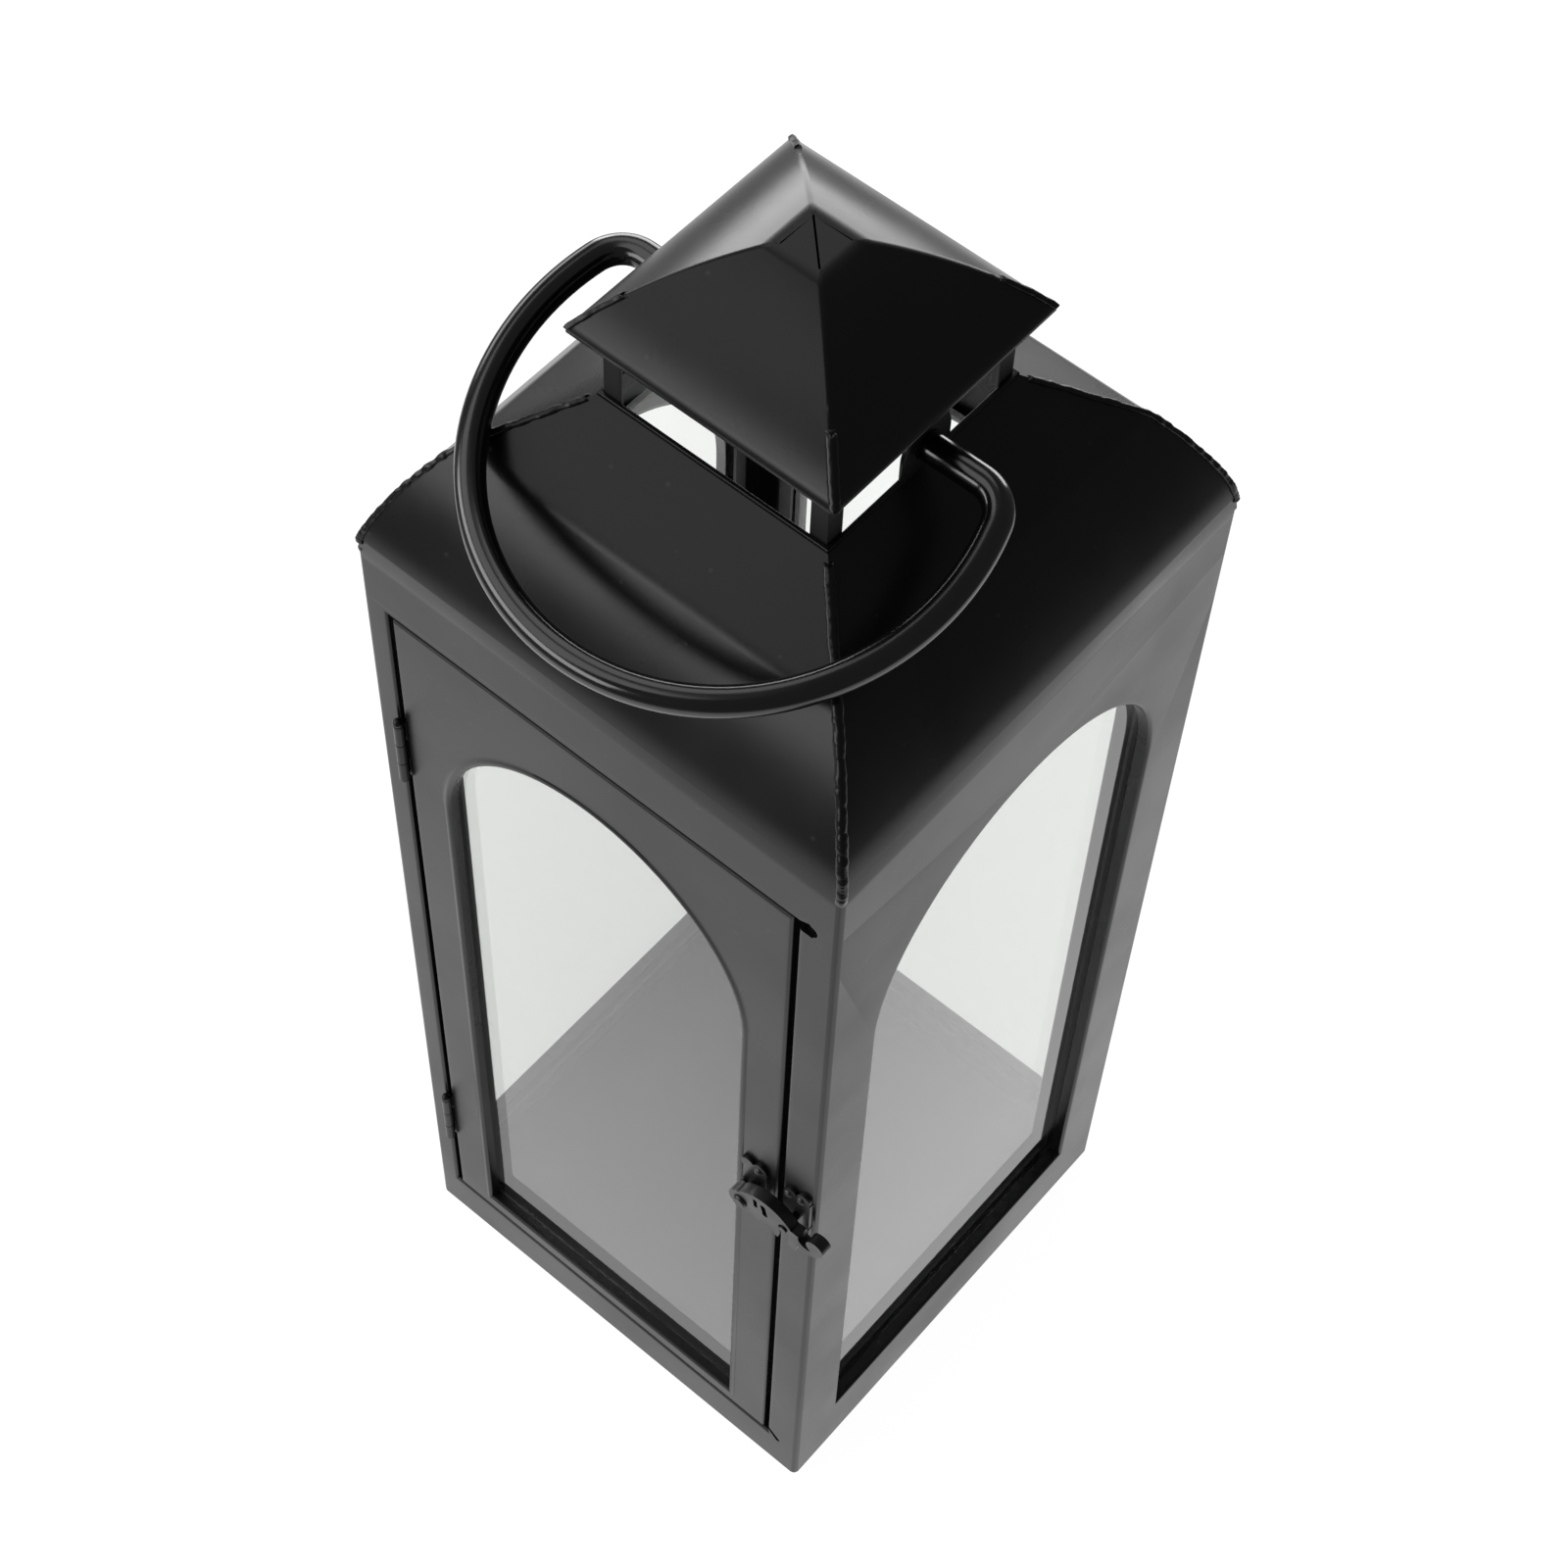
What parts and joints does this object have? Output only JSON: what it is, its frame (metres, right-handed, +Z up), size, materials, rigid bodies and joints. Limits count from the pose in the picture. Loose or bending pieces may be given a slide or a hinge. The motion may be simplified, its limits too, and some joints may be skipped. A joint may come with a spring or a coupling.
{
  "type": "candle lantern",
  "caption": "Square sheet-steel candle lantern with arched glass walls, a hinged door with hook latch, a vented roof under a raised cap, and a swinging carrying handle.",
  "frame": {"origin": "centre of the underside, on the table", "axes": "+Z up through the cap; -Y out through the door; +X to the latch side of the door"},
  "size_m": [0.1579, 0.1625, 0.4445],
  "materials": {
    "black_steel": "satin black powder-coated sheet steel",
    "inner_steel": "black powder-coated steel inside the housing, a little duller",
    "black_rod": "gloss black painted steel rod",
    "black_cast": "satin black painted small castings and fasteners",
    "window_glass": "clear float glass"
  },
  "bodies": {
    "housing": {"front_panel": "black_steel", "right_panel": "black_steel", "back_panel": "black_steel", "left_panel": "black_steel", "base_pan": "inner_steel", "right_glass": "window_glass", "back_glass": "window_glass", "left_glass": "window_glass", "right_glass_rails": "inner_steel", "back_glass_rails": "inner_steel", "left_glass_rails": "inner_steel", "hip_seams": "black_steel", "vent_collar": "black_steel", "front_left_post": "inner_steel", "front_right_post": "inner_steel", "back_left_post": "inner_steel", "back_right_post": "inner_steel", "cap": "black_steel", "cap_seams": "black_steel", "upper_hinge_frame_leaf": "black_steel", "upper_hinge_pin": "black_steel", "lower_hinge_frame_leaf": "black_steel", "lower_hinge_pin": "black_steel", "latch_catch_plate": "black_cast", "latch_catch_rivets": "black_cast", "latch_catch_peg": "black_cast"},
    "door": {"door_panel": "black_steel", "door_glass": "window_glass", "door_glass_rails": "inner_steel", "upper_hinge_door_leaf": "black_steel", "lower_hinge_door_leaf": "black_steel", "latch_door_plate": "black_cast", "latch_door_rivets": "black_cast", "latch_pivot_stud": "black_cast"},
    "hook": {"latch_hook": "black_cast"},
    "handle": {"handle": "black_rod"}
  },
  "joints": [
    {"name": "door_hinge", "type": "hinge", "parent": "housing", "child": "door", "pos_m": [-0.06635, -0.0764, 0.1665], "axis": [0, 0, -1], "range_deg": [0, 175]},
    {"name": "hook_pivot", "type": "hinge", "parent": "door", "child": "hook", "pos_m": [0.054, -0.07925, 0.1755], "axis": [0, -1, 0], "range_deg": [0, 100]},
    {"name": "handle_pivot", "type": "hinge", "parent": "housing", "child": "handle", "pos_m": [0, 0, 0.4035], "axis": [-1, 0, 0], "range_deg": [0, 210.6]}
  ]
}
